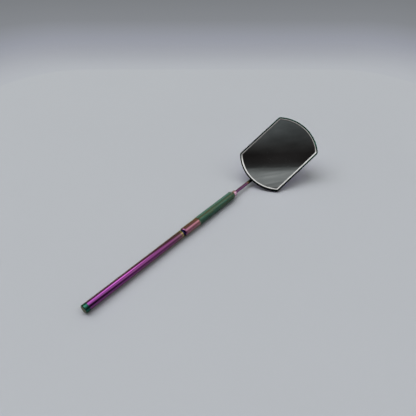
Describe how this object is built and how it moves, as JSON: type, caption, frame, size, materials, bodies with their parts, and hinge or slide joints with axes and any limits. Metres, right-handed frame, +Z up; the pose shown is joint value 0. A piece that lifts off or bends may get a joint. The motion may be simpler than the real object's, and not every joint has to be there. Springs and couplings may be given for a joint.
{
  "type": "mouth mirror",
  "caption": "Hand mirror with a slim two-part handle, knurled grip, screwed-in bent stem and a flat truncated-circle mirror in a shallow cup.",
  "frame": {"origin": "on the surface the mirror lies on, under the middle of its bounding box", "axes": "+X along the handle towards the head, +Z up; the head is rolled towards -Y, as the mirror comes to rest"},
  "size_m": [0.2092, 0.0468, 0.0372],
  "materials": {
    "cap_coating": "green interference coating, satin",
    "tube_coating": "violet interference coating, polished",
    "washer_coating": "dark blue interference coating",
    "grip_coating": "rose to green interference coating, smooth then knurled",
    "nose_coating": "pink interference coating, polished",
    "stem_coating": "purple interference coating, heat-tinted at the bend",
    "bare_steel": "turned steel",
    "cup_coating": "green-black interference coating",
    "braze": "silver braze, tinted",
    "bright_ring": "bright",
    "mirror_plate": "silvered glass",
    "backing_paint": "silvering under grey backing paint",
    "adhesive": "bonding layer",
    "seal_rubber": "matt"
  },
  "bodies": {
    "grip": {"grip": "grip_coating", "nose_ferrule": "nose_coating"},
    "joint_washer": {"joint_washer": "washer_coating"},
    "rear_handle": {"rear_tube": "tube_coating", "tail_cap": "cap_coating", "joint_stud": "bare_steel"},
    "stem_seal": {"stem_seal": "seal_rubber"},
    "head": {"stem": "stem_coating", "braze_joint": "braze", "mirror_cup": "cup_coating", "adhesive_pad": "adhesive", "mirror_coating": "backing_paint", "mirror_glass": "mirror_plate", "retaining_ring": "bright_ring"}
  },
  "joints": [
    {"name": "handle_travel", "type": "slide", "parent": "grip", "child": "joint_washer", "axis": [-1, 0, 0], "range_m": [0, 0.0061]},
    {"name": "handle_unscrew", "type": "hinge", "parent": "joint_washer", "child": "rear_handle", "pos_m": [-0.03455, 0.0068, 0.0033], "axis": [-1, 0, 0], "range_deg": [0, 3660]},
    {"name": "head_travel", "type": "slide", "parent": "grip", "child": "stem_seal", "axis": [1, 0, 0], "range_m": [0, 0.0091]},
    {"name": "head_unscrew", "type": "hinge", "parent": "stem_seal", "child": "head", "pos_m": [0.03445, 0.0068, 0.0033], "axis": [1, 0, 0], "range_deg": [0, 7280]}
  ],
  "couplings": [
    {"joint": "handle_unscrew", "follows": "handle_travel", "rad_per_m": 10472},
    {"joint": "head_unscrew", "follows": "head_travel", "rad_per_m": 13963}
  ]
}
